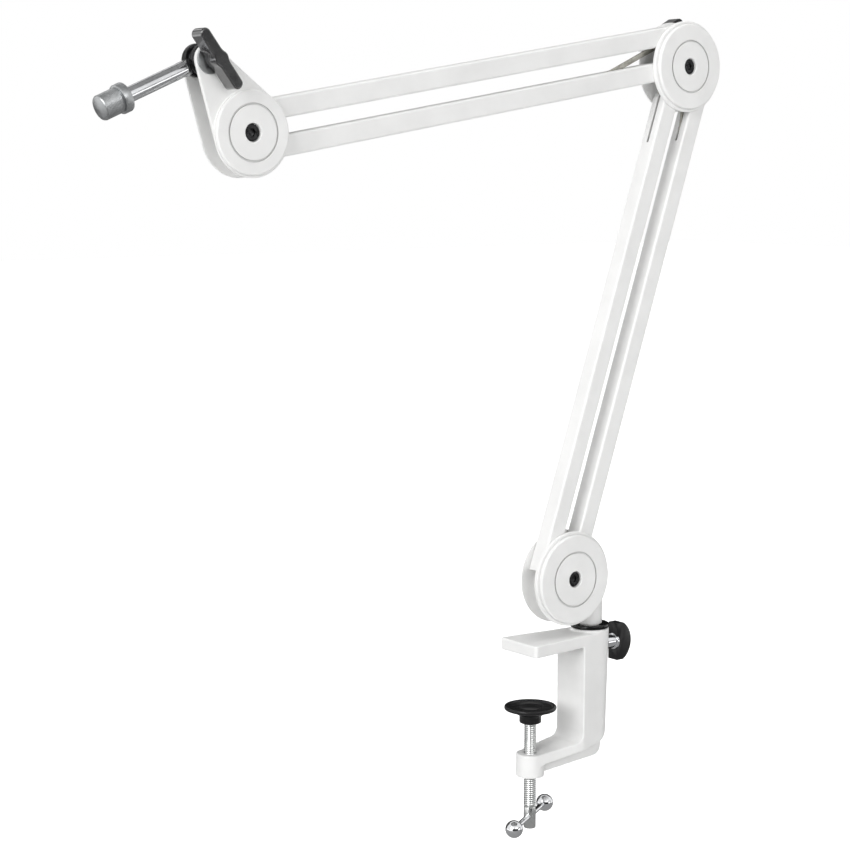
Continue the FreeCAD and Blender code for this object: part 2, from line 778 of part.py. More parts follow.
def elbow_lock_bolt():
    tip = knob_back(half_depth) + knob_bore_depth - face_play
    head_end = -half_gap - hidden_head_height
    bolt = pin(elbow_top, hidden_head_radius, head_end, -half_gap)
    return bolt.fuse(pin(elbow_top, pivot_radius, -half_gap, tip))


def head_lock_bolt():
    tip = -knob_back(plate_face) - knob_bore_depth + face_play
    crown = (dome_radius ** 2 + dome_height ** 2) / (2 * dome_height)
    ball = Part.makeSphere(crown, at(stud_pivot[0], plate_face + dome_height - crown, stud_pivot[1]))
    dome = ball.common(pin(stud_pivot, dome_radius, plate_face, plate_face + dome_height + overrun))
    return dome.fuse(pin(stud_pivot, pivot_radius, tip, plate_face)).removeSplitter()


def plate_outline():
    # two round ends and the lines that touch both
    away = math.hypot(stud_pivot_x - plate_foot_x, stud_pivot_z - plate_foot_z)
    along = math.atan2(stud_pivot_z - plate_foot_z, stud_pivot_x - plate_foot_x)
    spread = math.acos((plate_foot_radius - plate_end_radius) / away)
    one, two = along + spread, along - spread

    def touch(centre, radius, turn):
        return at(centre[0] + radius * math.cos(turn), 0, centre[1] + radius * math.sin(turn))

    big1, big2 = touch(plate_foot, plate_foot_radius, one), touch(plate_foot, plate_foot_radius, two)
    end1, end2 = touch(stud_pivot, plate_end_radius, one), touch(stud_pivot, plate_end_radius, two)
    sides = [
        Part.Arc(big1, touch(plate_foot, plate_foot_radius, along + math.pi), big2),
        Part.LineSegment(big2, end2),
        Part.Arc(end2, touch(stud_pivot, plate_end_radius, along), end1),
        Part.LineSegment(end1, big1),
    ]
    return Part.Face(Part.Wire([s.toShape() for s in sides]))


def head_front_plate():
    outline = plate_outline()
    outline.translate(at(0, -plate_face, 0))
    plate = outline.extrude(at(0, plate_thickness, 0))
    rim = [e for e in plate.Edges if e.BoundBox.YMax < -plate_face + 0.01]
    plate = plate.makeFillet(plate_edge, rim)
    sunk = recess_depth - (disc_thickness - plate_thickness)
    holes = [pin(p, pivot_radius, -plate_face - overrun, -half_gap + overrun) for p in (head, stud_pivot)]
    holes += [pin(p, pivot_radius, -plate_face - overrun, -half_gap + overrun) for p in (head_low, head_high)]
    return plate.cut(holes + [pin(head, recess_radius, -plate_face - overrun, -plate_face + sunk)])


def head_rear_plate():
    plate = head_front_plate().mirror(at(0, 0, 0), at(0, 1, 0))
    return plate


def head_spacer():
    return pin(head, spacer_radius, -half_gap, half_gap).cut(pin(head, pivot_radius, -half_depth, half_depth))


def along_stud(radius, x0, x1):
    return Part.makeCylinder(radius, x1 - x0, at(x0, 0, 0), at(1, 0, 0))


def stud_turn():
    return 180.0 - stud_dip


def mic_stud():
    # round rod flattened to a tongue, which ends in an eye on the head's lock bolt
    half = eye_thickness / 2
    rod = along_stud(rod_radius, rod_start, stud_reach - thread_length - collar_length)
    shoulder = [e for e in rod.Edges if e.BoundBox.XMax < rod_start + overrun]
    rod = rod.makeFillet(rod_shoulder, shoulder)
    tongue = Part.makeBox(rod_start + rod_radius, eye_thickness, 2 * tongue_half, at(0, -half, -tongue_half))
    eye = pin((0, 0), eye_radius, -half, half)
    hole = pin((0, 0), pivot_radius + running, -half - overrun, half + overrun)
    return turned(rod.fuse([tongue, eye]).removeSplitter().cut(hole), stud_turn(), stud_pivot)


def mic_thread():
    start = stud_reach - thread_length - collar_length
    collar = along_stud(collar_radius, start, start + collar_length)
    rims = [e for e in collar.Edges if e.BoundBox.XLength < 0.01]
    collar = collar.makeFillet(collar_edge, rims)
    thread = along_stud(thread_radius, start + collar_length, stud_reach)
    return turned(collar.fuse(thread), stud_turn(), stud_pivot)


def stud_washers():
    # thick friction washers that fill the gap between the eye and the plates
    rings = []
    thickness = half_gap - eye_thickness / 2 - eye_play
    for y in (-half_gap, half_gap - thickness):
        ring = pin(stud_pivot, friction_radius, y, y + thickness)
        rings.append(ring.cut(pin(stud_pivot, pivot_radius, y - overrun, y + thickness + overrun)))
    return Part.makeCompound(rings)


def export_clamp():
    export("clamp_frame", clamp_frame())
    export("socket_bush", socket_bush())
    export("screw_pad", screw_pad())
    export("clamp_screw", clamp_screw())
    export("tommy_bar", tommy_bar())
    export("tommy_balls", tommy_balls())
    export("lock_tip", lock_tip())
    export("lock_screw", lock_screw())
    export("lock_ferrule", lock_ferrule())
    export("lock_knob", lock_knob())


def export_base():
    front, rear = disc_pair(base, base_disc_radius, base_rear_radius, base_groove,
                            [base_left, base_right])
    export("base_front_disc", front)
    export("base_rear_disc", rear)
    export("base_bolt", centre_bolt(base))
    export("base_nut", centre_nut(base))
    export("base_pivot_stubs", pivot_stubs([base_left, base_right], stub_seat))
    export("swivel_post", swivel_post())


def export_lower_arm():
    for side, place, slot in (("left", elbow_left, slot_reach), ("right", elbow_right, strap_slot_reach)):
        export("lower_" + side + "_tube", turned(arm_tube(lower_span, slot), lower_turn, place))
        export("lower_" + side + "_bushes", turned(tube_bushes(lower_span), lower_turn, place))
    export("lower_spring", turned(arm_spring(lower_span, lower_spring_start), lower_turn, elbow_right))
    export("lower_spring_anchor", turned(spring_anchor(lower_span), lower_turn, elbow_right))
    export("lower_strap", turned(strap(lower_strap_length, anchor_radius), lower_strap_turn(), anchor))


def export_elbow():
    low = [elbow_left, elbow_right]
    front, rear = disc_pair(elbow, elbow_disc_radius, elbow_rear_radius, elbow_groove, low)
    inner = half_gap + stub_seat
    front = front.cut([pin(anchor, anchor_radius, -inner, -half_gap),
                       pin(elbow_top, hidden_head_radius, -half_gap - hidden_head_height, -half_gap)])
    rear = rear.cut([pin(anchor, anchor_radius, half_gap, inner),
                     pin(elbow_top, pivot_radius, half_gap - overrun, half_depth + overrun)])
    export("elbow_front_disc", front)
    export("elbow_rear_disc", rear)
    export("elbow_bolt", centre_bolt(elbow))
    export("elbow_nut", centre_nut(elbow))
    export("elbow_pivot_stubs", pivot_stubs(low, stub_seat))
    export("strap_anchor_pin", pin(anchor, anchor_radius, -inner, inner))
    export("elbow_lock_bolt", elbow_lock_bolt())
    export("elbow_knob_washer", washer(elbow_top, elbow_washer_radius, half_depth))
    export("elbow_knob", elbow_knob())


def export_upper_arm():
    bottom = arm_tube(upper_span, long_slot_reach)
    top = arm_tube(upper_span, slot_reach)
    export("upper_bottom_tube", turned(bottom, upper_turn, elbow))
    export("upper_bottom_bushes", turned(tube_bushes(upper_span), upper_turn, elbow))
    export("upper_top_tube", turned(top, upper_turn, elbow_top))
    export("upper_top_bushes", turned(tube_bushes(upper_span), upper_turn, elbow_top))
    export("upper_spring", turned(arm_spring(upper_span, upper_spring_start), upper_turn, elbow))
    export("upper_spring_anchor", turned(spring_anchor(upper_span), upper_turn, elbow))
    export("upper_strap", turned(strap(upper_strap_length, pivot_radius), upper_strap_turn(), elbow_top))


def export_head():
    thickness = disc_thickness - plate_thickness
    front_rim = head_disc_radius - plain_lip
    rear_rim = head_rear_radius - plain_lip
    front = front_disc(head, head_disc_radius, front_rim, head_groove, thickness, lip_depth)
    rear = front_disc(head, head_rear_radius, rear_rim, head_groove, thickness, lip_depth)
    export("head_front_disc", front)
    export("head_rear_disc", to_back(rear, head))
    export("head_front_plate", head_front_plate())
    export("head_rear_plate", head_rear_plate())
    export("head_spacer", head_spacer())
    export("head_bolt", centre_bolt(head))
    export("head_nut", centre_nut(head))
    export("head_pivot_stubs", pivot_stubs([head_low, head_high], plate_thickness))
    export("stud_washers", stud_washers())
    export("head_lock_bolt", head_lock_bolt())
    export("head_knob_washer", washer(stud_pivot, washer_radius, -plate_face - washer_thickness))
    export("head_knob", head_knob())
    export("mic_stud", mic_stud())
    export("mic_thread", mic_thread())


os.makedirs("parts", exist_ok=True)
export_clamp()
export_base()
export_lower_arm()
export_elbow()
export_upper_arm()
export_head()
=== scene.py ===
import bpy
import bmesh
import json
import math
from mathutils import Matrix, Vector

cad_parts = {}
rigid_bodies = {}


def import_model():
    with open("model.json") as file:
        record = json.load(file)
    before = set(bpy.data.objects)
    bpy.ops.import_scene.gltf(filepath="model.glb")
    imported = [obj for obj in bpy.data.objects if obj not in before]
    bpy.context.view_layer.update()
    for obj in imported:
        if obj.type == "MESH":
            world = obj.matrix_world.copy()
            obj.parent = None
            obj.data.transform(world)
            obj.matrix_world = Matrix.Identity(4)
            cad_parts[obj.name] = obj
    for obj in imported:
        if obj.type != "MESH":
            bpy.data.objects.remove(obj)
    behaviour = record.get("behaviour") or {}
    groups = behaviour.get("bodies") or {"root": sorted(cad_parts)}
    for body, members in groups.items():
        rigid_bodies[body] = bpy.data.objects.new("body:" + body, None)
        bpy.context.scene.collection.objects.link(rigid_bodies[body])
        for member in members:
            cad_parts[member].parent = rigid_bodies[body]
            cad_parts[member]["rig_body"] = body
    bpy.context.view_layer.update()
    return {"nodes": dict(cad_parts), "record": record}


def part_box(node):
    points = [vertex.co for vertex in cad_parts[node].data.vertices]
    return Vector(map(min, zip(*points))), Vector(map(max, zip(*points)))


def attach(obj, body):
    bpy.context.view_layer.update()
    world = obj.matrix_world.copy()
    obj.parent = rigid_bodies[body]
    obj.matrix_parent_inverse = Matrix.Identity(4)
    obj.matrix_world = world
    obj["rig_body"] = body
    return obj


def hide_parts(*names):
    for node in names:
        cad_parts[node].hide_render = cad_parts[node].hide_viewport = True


# White microphone boom arm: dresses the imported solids, sets the studio and the camera.
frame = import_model()
nodes = frame["nodes"]
mm = 0.001
print("frame loaded:", len(nodes), "nodes")


def linear(hexColour):  # sRGB hex to the linear values that the sockets take
    parts = [int(hexColour[i:i + 2], 16) / 255 for i in (1, 3, 5)]
    return [c / 12.92 if c <= 0.04045 else ((c + 0.055) / 1.055) ** 2.4 for c in parts] + [1.0]


def addNode(tree, kind, settings=None, links=None):
    node = tree.nodes.new(kind)
    for key, value in (settings or {}).items():
        if isinstance(key, int) or key in node.inputs:
            node.inputs[key].default_value = value
        else:
            setattr(node, key, value)
    for key, socket in (links or {}).items():
        tree.links.new(socket, node.inputs[key])
    return node


def newMaterial(name, shaderSettings):
    material = bpy.data.materials.new(name)
    material.use_nodes = True
    tree = material.node_tree
    shader = tree.nodes["Principled BSDF"]
    for key, value in shaderSettings.items():
        shader.inputs[key].default_value = value
    return material, tree, shader


def setRamp(ramp, low, high, lowAt=0.35, highAt=0.65):
    ends = ramp.color_ramp.elements
    ends[0].position, ends[1].position = lowAt, highAt
    ends[0].color, ends[1].color = low, high


def perMetre(sizeMm):  # noise scale that gives features of this size
    return 1.0 / (sizeMm * mm)


# Finishes

# polyester powder coat on steel: sprayed and baked, so a satin white with a faint orange peel; its darker
# crease colour is painted shade for creases and hollows
coatLook = {"light": "#f4f4f3", "shade": "#eeeeed", "cloudMm": 26, "peelMm": 1.1, "peelHeightMm": 0.012,
            "peelStrength": 0.35, "roughLow": 0.33, "roughHigh": 0.42,
            "paintedShade": "#cdcdcc", "paintedShadeMm": 3.0, "paintedShadeFrom": 0.25, "paintedShadeTo": 0.82}
# the same coat on the casting, with a painted shade that reaches further and goes darker, so its deep hollows
# and the rib under the arm paint greyer
castLook = dict(coatLook, paintedShade="#6c6c6b", paintedShadeMm=15.0)


def powderCoat(name, look):
    material, tree, shader = newMaterial(name, {"IOR": 1.5})
    place = addNode(tree, "ShaderNodeTexCoord")
    cloud = addNode(tree, "ShaderNodeTexNoise", {"Scale": perMetre(look["cloudMm"]), "Detail": 3.0},
                    {"Vector": place.outputs["Object"]})
    tint = addNode(tree, "ShaderNodeValToRGB", None, {"Fac": cloud.outputs["Fac"]})
    setRamp(tint, linear(look["shade"]), linear(look["light"]))
    peel = addNode(tree, "ShaderNodeTexNoise", {"Scale": perMetre(look["peelMm"]), "Detail": 2.0},
                   {"Vector": place.outputs["Object"]})
    gloss = addNode(tree, "ShaderNodeMapRange", {"From Min": 0.3, "From Max": 0.7,
                                                 "To Min": look["roughLow"], "To Max": look["roughHigh"]},
                    {"Value": peel.outputs["Fac"]})
    bump = addNode(tree, "ShaderNodeBump", {"Strength": look["peelStrength"],
                                            "Distance": look["peelHeightMm"] * mm},
                   {"Height": peel.outputs["Fac"]})
    # painted shade: the coat's colour darkens a little in creases and hollows, where shade falls
    paintedShadeAo = addNode(tree, "ShaderNodeAmbientOcclusion", {"Distance": look["paintedShadeMm"] * mm,
                                                          "samples": 12, "only_local": True})
    unshadedShare = addNode(tree, "ShaderNodeMapRange", {"From Min": look["paintedShadeFrom"],
                                                   "From Max": look["paintedShadeTo"]},
                      {"Value": paintedShadeAo.outputs["AO"]})
    coat = addNode(tree, "ShaderNodeMixRGB", {"Color1": linear(look["paintedShade"])},
                   {"Fac": unshadedShare.outputs["Result"], "Color2": tint.outputs["Color"]})
    tree.links.new(coat.outputs["Color"], shader.inputs["Base Color"])
    tree.links.new(gloss.outputs["Result"], shader.inputs["Roughness"])
    tree.links.new(bump.outputs["Normal"], shader.inputs["Normal"])
    return material


# ABS moulded in a spark-eroded tool: near-black, satin, a fine even grain, drawn coarser than life to show
absLook = {"dark": "#0d0d0e", "light": "#151516", "grainMm": 0.55, "grainHeightMm": 0.03,
           "grainStrength": 0.3, "cloudMm": 9, "roughLow": 0.26, "roughHigh": 0.36}
# the head's grip is the same ABS from a polished tool: a grey-black that mirrors what stands beside it
gripLook = dict(absLook, dark="#222223", light="#2f2f30", grainHeightMm=0.012, roughLow=0.13, roughHigh=0.2)


def mouldedAbs(name, look, level, polish=0.0):
    material, tree, shader = newMaterial(name, {"IOR": 1.54, "Specular IOR Level": level,
                                                "Coat Weight": polish, "Coat Roughness": 0.06})
    place = addNode(tree, "ShaderNodeTexCoord")
    cloud = addNode(tree, "ShaderNodeTexNoise", {"Scale": perMetre(look["cloudMm"]), "Detail": 4.0},
                    {"Vector": place.outputs["Object"]})
    tint = addNode(tree, "ShaderNodeValToRGB", None, {"Fac": cloud.outputs["Fac"]})
    setRamp(tint, linear(look["dark"]), linear(look["light"]))
    grain = addNode(tree, "ShaderNodeTexVoronoi", {"Scale": perMetre(look["grainMm"])},
                    {"Vector": place.outputs["Object"]})
    gloss = addNode(tree, "ShaderNodeMapRange", {"From Min": 0.2, "From Max": 0.8,
                                                 "To Min": look["roughLow"], "To Max": look["roughHigh"]},
                    {"Value": cloud.outputs["Fac"]})
    bump = addNode(tree, "ShaderNodeBump", {"Strength": look["grainStrength"],
                                            "Distance": look["grainHeightMm"] * mm},
                   {"Height": grain.outputs["Distance"]})
    tree.links.new(tint.outputs["Color"], shader.inputs["Base Color"])
    tree.links.new(gloss.outputs["Result"], shader.inputs["Roughness"])
    tree.links.new(bump.outputs["Normal"], shader.inputs["Normal"])
    return material


# acetal turned from bar: black and close to glossy, a little uneven from handling
acetalLook = {"dark": "#050506", "light": "#0a0a0b", "cloudMm": 4.2, "roughLow": 0.1, "roughHigh": 0.18}


def turnedAcetal():
    material, tree, shader = newMaterial("turnedBlackAcetal", {"IOR": 1.48, "Specular IOR Level": 0.4})
    place = addNode(tree, "ShaderNodeTexCoord")
    cloud = addNode(tree, "ShaderNodeTexNoise", {"Scale": perMetre(acetalLook["cloudMm"]), "Detail": 2.0},
                    {"Vector": place.outputs["Object"]})
    tint = addNode(tree, "ShaderNodeValToRGB", None, {"Fac": cloud.outputs["Fac"]})
    setRamp(tint, linear(acetalLook["dark"]), linear(acetalLook["light"]))
    gloss = addNode(tree, "ShaderNodeMapRange", {"To Min": acetalLook["roughLow"],
                                                 "To Max": acetalLook["roughHigh"]},
                    {"Value": cloud.outputs["Fac"]})
    tree.links.new(tint.outputs["Color"], shader.inputs["Base Color"])
    tree.links.new(gloss.outputs["Result"], shader.inputs["Roughness"])
    return material


# chromium plate over polished steel: a cool mirror with a trace of polishing haze
chromeLook = {"light": "#e6e7e9", "shade": "#dcdddf", "hazeMm": 7, "roughLow": 0.07, "roughHigh": 0.14}
# bright zinc plate on machined steel: greyer and softer than chrome
zincLook = {"light": "#d6d7d6", "shade": "#c8cac9", "hazeMm": 9, "roughLow": 0.22, "roughHigh": 0.28}
# satin nickel on the turned tip and the head knob's washer: duller than chrome, with a soft sheen
nickelLook = {"light": "#b4b6b7", "shade": "#a8aaab", "hazeMm": 6, "roughLow": 0.36, "roughHigh": 0.44}
# the rod's chrome is brushed before plating, so its stripes run soft
rodLook = {"light": "#dfe0e2", "shade": "#d6d7d9", "hazeMm": 12, "roughLow": 0.15, "roughHigh": 0.2}
# spring steel strip, oiled: a dull warm grey, slightly cloudy
springLook = {"light": "#b4b2aa", "shade": "#98968e", "hazeMm": 3.5, "roughLow": 0.34, "roughHigh": 0.48}
# black oxide on a machine screw: dark and slightly oily
oxideLook = {"light": "#3e3e3f", "shade": "#2b2b2c", "hazeMm": 2.0, "roughLow": 0.24, "roughHigh": 0.36}


def platedMetal(name, look):
    material, tree, shader = newMaterial(name, {"Metallic": 1.0})
    place = addNode(tree, "ShaderNodeTexCoord")
    haze = addNode(tree, "ShaderNodeTexNoise", {"Scale": perMetre(look["hazeMm"]), "Detail": 4.0},
                   {"Vector": place.outputs["Object"]})
    tint = addNode(tree, "ShaderNodeValToRGB", None, {"Fac": haze.outputs["Fac"]})
    setRamp(tint, linear(look["shade"]), linear(look["light"]))
    gloss = addNode(tree, "ShaderNodeMapRange", {"From Min": 0.25, "From Max": 0.75,
                                                 "To Min": look["roughLow"], "To Max": look["roughHigh"]},
                    {"Value": haze.outputs["Fac"]})
    tree.links.new(tint.outputs["Color"], shader.inputs["Base Color"])
    tree.links.new(gloss.outputs["Result"], shader.inputs["Roughness"])
    return material


# nylon 66, moulded: off-white bushes with a waxy surface
nylonLook = {"light": "#ebe8df", "shade": "#e2dfd5", "cloudMm": 4, "roughLow": 0.38, "roughHigh": 0.5}


def mouldedNylon():
    material, tree, shader = newMaterial("naturalNylon", {"IOR": 1.53})
    place = addNode(tree, "ShaderNodeTexCoord")
    cloud = addNode(tree, "ShaderNodeTexNoise", {"Scale": perMetre(nylonLook["cloudMm"])},
                    {"Vector": place.outputs["Object"]})
    tint = addNode(tree, "ShaderNodeValToRGB", None, {"Fac": cloud.outputs["Fac"]})
    setRamp(tint, linear(nylonLook["shade"]), linear(nylonLook["light"]))
    gloss = addNode(tree, "ShaderNodeMapRange", {"To Min": nylonLook["roughLow"],
                                                 "To Max": nylonLook["roughHigh"]},
                    {"Value": cloud.outputs["Fac"]})
    tree.links.new(tint.outputs["Color"], shader.inputs["Base Color"])
    tree.links.new(gloss.outputs["Result"], shader.inputs["Roughness"])
    return material


finishes = {
    "white_coat": powderCoat("whitePowderCoat", coatLook),
    "black_plastic": mouldedAbs("mouldedBlackAbs", absLook, 0.35),
    "black_gloss": turnedAcetal(),
    "chrome": platedMetal("chromePlate", chromeLook),
    "zinc_steel": platedMetal("brightZincPlate", zincLook),
    "spring_steel": platedMetal("oiledSpringSteel", springLook),
    "black_steel": platedMetal("blackOxideSteel", oxideLook),
    "nylon": mouldedNylon(),
}
satinNickel = platedMetal("satinNickel", nickelLook)
ownFinish = {  # pieces and nodes that differ from their slot's finish
    "head_knob": mouldedAbs("polishedBlackAbs", gripLook, 0.9, polish=1.0),
    "microphoneTip": satinNickel,
    "headKnobWasherEased": satinNickel,
    "mic_stud": platedMetal("satinChrome", rodLook),
    "clampCasting": powderCoat("castPowderCoat", castLook),
}
ownSlot = {"stud_washers": "black_steel"}  # painted dark reflection: black oxide in place of the record's chrome, for the dark look of chrome that mirrors shade
slotOf = {s["node"]: s["material_slot"] for s in frame["record"]["subparts"]}
for name, node in nodes.items():
    node.data.materials.clear()
    node.data.materials.append(ownFinish.get(name, finishes[slotOf[name]]))
print("finishes:", len(finishes))


# Mesh helpers

weldMm, slimMm = 0.001, 0.0005  # closer points are one point, thinner faces go


def markSharp(bm, angle):
    for face in bm.faces:
        face.smooth = True
    for edge in bm.edges:
        edge.smooth = len(edge.link_faces) != 2 or edge.calc_face_angle(0.0) < math.radians(angle)


def newPiece(name, bm, body, slotName, replaced, sharpAngle):
    bmesh.ops.recalc_face_normals(bm, faces=bm.faces)
    markSharp(bm, sharpAngle)
    mesh = bpy.data.meshes.new(name)
    bm.to_mesh(mesh)
    bm.free()
    piece = bpy.data.objects.new(name, mesh)
    bpy.context.scene.collection.objects.link(piece)
    mesh.materials.append(ownFinish.get(name, finishes[slotName]))
    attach(piece, body)
    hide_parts(*replaced)


# outline: (radius, along) in mm; turn: matrix from the local Z axis
def latheInto(bm, outline, turn, segments):
    steps = [2 * math.pi * k / segments for k in range(segments)]
    rings = []
    for radius, along in outline:
        if radius < 1e-6:  # a point on the axis closes the end
            rings.append([bm.verts.new(turn @ Vector((0, 0, along * mm)))])
            continue
        r = radius * mm
        rings.append([bm.verts.new(turn @ Vector((r * math.cos(a), r * math.sin(a), along * mm)))
                      for a in steps])
    for one, two in zip(rings, rings[1:]):
        for k in range(segments):
            n = (k + 1) % segments
            corners = [one[k % len(one)], one[n % len(one)], two[n % len(two)], two[k % len(two)]]
            unique = list(dict.fromkeys(corners))
            if len(unique) > 2:
                bm.faces.new(unique)


def seamsClosed(bm):
    bmesh.ops.remove_doubles(bm, verts=bm.verts, dist=weldMm * mm)
    bmesh.ops.dissolve_degenerate(bm, edges=bm.edges, dist=slimMm * mm)


# a true helix from start over length, all in mm; its ends run out to the root
def threadInto(bm, turn, start, length, major, spec):
    pitch, lead, segments = spec["pitchMm"], spec["leadMm"], spec["sides"]
    minor = major - spec["depthMm"]
    leadSlope = 0.9  # radius gained per mm from either end
    # share of the pitch and radius: root, flank, crest, flank, root
    shape = [(0.0, minor), (0.12, minor), (0.42, major), (0.58, major), (0.88, minor), (1.0, minor)]
    steps = math.ceil((length / pitch + 1) * segments)
    columns = []
    for i in range(steps + 1):
        angle = 2 * math.pi * i / segments
        column = []
        for share, radius in shape:
            along = min(max((i / segments + share - 1) * pitch, 0.0), length)
            room = min(along, length - along)
            r = min(radius, minor - lead / 2 + room * leadSlope) * mm
            column.append(bm.verts.new(turn @ Vector((r * math.cos(angle), r * math.sin(angle),
                                                      (start + along) * mm))))
        columns.append(column)
    for one, two in zip(columns, columns[1:]):
        for j in range(len(shape) - 1):
            bm.faces.new((one[j], two[j], two[j + 1], one[j + 1]))


cleanSpec = {"weldMm": 0.002, "flatDeg": 0.4}


def cleanCopy(nodeName):  # welded copy of a node's mesh with its flat faces whole again
    bm = bmesh.new()
    bm.from_mesh(nodes[nodeName].data)
    bmesh.ops.remove_doubles(bm, verts=bm.verts, dist=cleanSpec["weldMm"] * mm)
    bmesh.ops.dissolve_limit(bm, angle_limit=math.radians(cleanSpec["flatDeg"]),
                             verts=bm.verts, edges=bm.edges)
    return bm


# Desk clamp: a sand-cast frame, so every edge is eased and every corner filled

castingSpec = {"voxelMm": 0.7, "easeShare": 0.5, "easePasses": 3, "keepShare": 0.3}


def clampCasting():
    bm = cleanCopy("clamp_frame")
    bmesh.ops.triangulate(bm, faces=bm.faces)
    source = bpy.data.meshes.new("castingSource")
    bm.to_mesh(source)
    bm.free()
    rough = bpy.data.objects.new("castingRough", source)
    bpy.context.scene.collection.objects.link(rough)
    skin = rough.modifiers.new("skin", "REMESH")
    skin.mode, skin.voxel_size = "VOXEL", castingSpec["voxelMm"] * mm
    ease = rough.modifiers.new("ease", "SMOOTH")
    ease.factor, ease.iterations = castingSpec["easeShare"], castingSpec["easePasses"]
    thin = rough.modifiers.new("thin", "DECIMATE")
    thin.ratio = castingSpec["keepShare"]
    graph = bpy.context.evaluated_depsgraph_get()
    made = bpy.data.meshes.new_from_object(rough.evaluated_get(graph))
    bpy.data.objects.remove(rough)
    bm = bmesh.new()
    bm.from_mesh(made)
    bpy.data.meshes.remove(made)
    newPiece("clampCasting", bm, "clamp", "white_coat", ("clamp_frame",), sharpAngle=80)


clampCasting()
print("clamp casting made")

# Pressure pad: a shallow dish with a rolled rim on a short cone and hub

padSpec = {"rimMm": 2.6, "dishMm": 0.8, "grooveMm": 0.25, "hubRadiusMm": 7.9, "coneMm": 4.2,
           "clearMm": 0.05, "sides": 112}


def pressurePad():
    low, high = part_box("screw_pad")
    top, rad, end, hub = high.z / mm, high.x / mm, low.z / mm, padSpec["hubRadiusMm"]
    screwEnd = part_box("clamp_screw")[1] / mm
    bore, roof = screwEnd.x + padSpec["clearMm"], screwEnd.z + padSpec["clearMm"]
    dish, rim = top - padSpec["dishMm"], top - padSpec["rimMm"]
    groove, neck = dish - padSpec["grooveMm"], rim - padSpec["coneMm"]
    # dished face with a ring groove, up to the lip
    outline = [(0, dish), (8.0, dish), (8.4, groove), (9.0, groove), (9.4, dish), (15.0, dish),
               (15.6, dish + 0.15), (16.1, top - 0.2), (16.6, top)]
    # rolled rim
    outline += [(rad - 0.9, top), (rad - 0.35, top - 0.15), (rad - 0.1, top - 0.45), (rad, top - 0.9),
                (rad, rim + 0.9), (rad - 0.1, rim + 0.4), (rad - 0.5, rim)]
    # cone below it, eased into the hub
    outline += [(rad - 2.0, rim - 0.25), (hub + 3.5, neck + 1.6), (hub + 1.0, neck + 0.35),
                (hub + 0.25, neck - 0.4), (hub, neck - 1.3)]
    # hub's end and the bore for the screw
    outline += [(hub, end + 0.9), (hub - 0.25, end + 0.3), (hub - 0.8, end), (bore + 0.2, end),
                (bore, end + 1.0), (bore, roof), (0, roof)]
    bm = bmesh.new()
    latheInto(bm, outline, Matrix.Identity(4), padSpec["sides"])
    newPiece("pressurePad", bm, "pad", "black_plastic", ("screw_pad",), sharpAngle=40)


pressurePad()

# Clamp screw: rolled thread, plain end for the tommy bar

screwSpec = {"pitchMm": 1.5, "depthMm": 0.42, "leadMm": 0.6, "plainMm": 16.0, "sides": 48}


def clampScrew():
    low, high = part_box("clamp_screw")
    rad, foot = high.x / mm, low.z / mm
    end, top = foot + screwSpec["plainMm"], high.z / mm
    root = rad - screwSpec["depthMm"] - screwSpec["leadMm"] / 2
    still, sides = Matrix.Identity(4), screwSpec["sides"]
    bm = bmesh.new()
    latheInto(bm, [(0, top), (root, top)], still, sides)
    threadInto(bm, still, end, top - end, rad, screwSpec)
    latheInto(bm, [(root, end), (rad - 0.1, end - 0.3), (rad, end - 0.6), (rad, foot + 0.7),
                   (rad - 0.2, foot + 0.2), (rad - 0.7, foot), (0, foot)], still, sides)
    seamsClosed(bm)
    newPiece("clampScrewThread", bm, "screw", "zinc_steel", ("clamp_screw",), sharpAngle=60)


clampScrew()

# Socket bush: flanged sleeve, the flange's top dished round the post

bushSpec = {"flangeMm": 3.0, "boreMm": 7.05, "sleeveMm": 8.2, "sides": 112,
            "dish": ((9.2, 1.0), (10.2, 0.9), (11.8, 0.35), (12.6, 0.02), (13.1, 0.0))}  # radius, depth in mm


def socketBush():
    low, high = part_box("socket_bush")
    turn = Matrix.Translation(((low.x + high.x) / 2, 0, 0))
    top, rad, foot = high.z / mm, high.y / mm, low.z / mm
    seat, bore, sleeve = top - bushSpec["flangeMm"], bushSpec["boreMm"], bushSpec["sleeveMm"]
    outline = [(bore, foot), (bore, top - bushSpec["dish"][0][1])]
    outline += [(radius, top - depth) for radius, depth in bushSpec["dish"]]
    # flange's rounded edge, then the sleeve
    outline += [(rad - 0.45, top - 0.1), (rad - 0.12, top - 0.4), (rad, top - 0.9), (rad, seat + 0.5),
                (rad - 0.15, seat + 0.15), (rad - 0.5, seat), (sleeve, seat), (sleeve, foot), (bore, foot)]
    bm = bmesh.new()
    latheInto(bm, outline, turn, bushSpec["sides"])
    bmesh.ops.remove_doubles(bm, verts=bm.verts, dist=weldMm * mm)
    newPiece("flangedBush", bm, "clamp", "black_gloss", ("socket_bush",), sharpAngle=40)


socketBush()
print("pad, screw and bush made")

# Microphone tip: turned collar, undercut and a 5/8 inch 27 thread

tipSpec = {"collarMm": 5.6, "collarRadiusMm": 9.25, "pitchMm": 0.941, "depthMm": 0.2, "leadMm": 0.35,
           "neckMm": 0.6, "endMm": 0.35, "sides": 96}


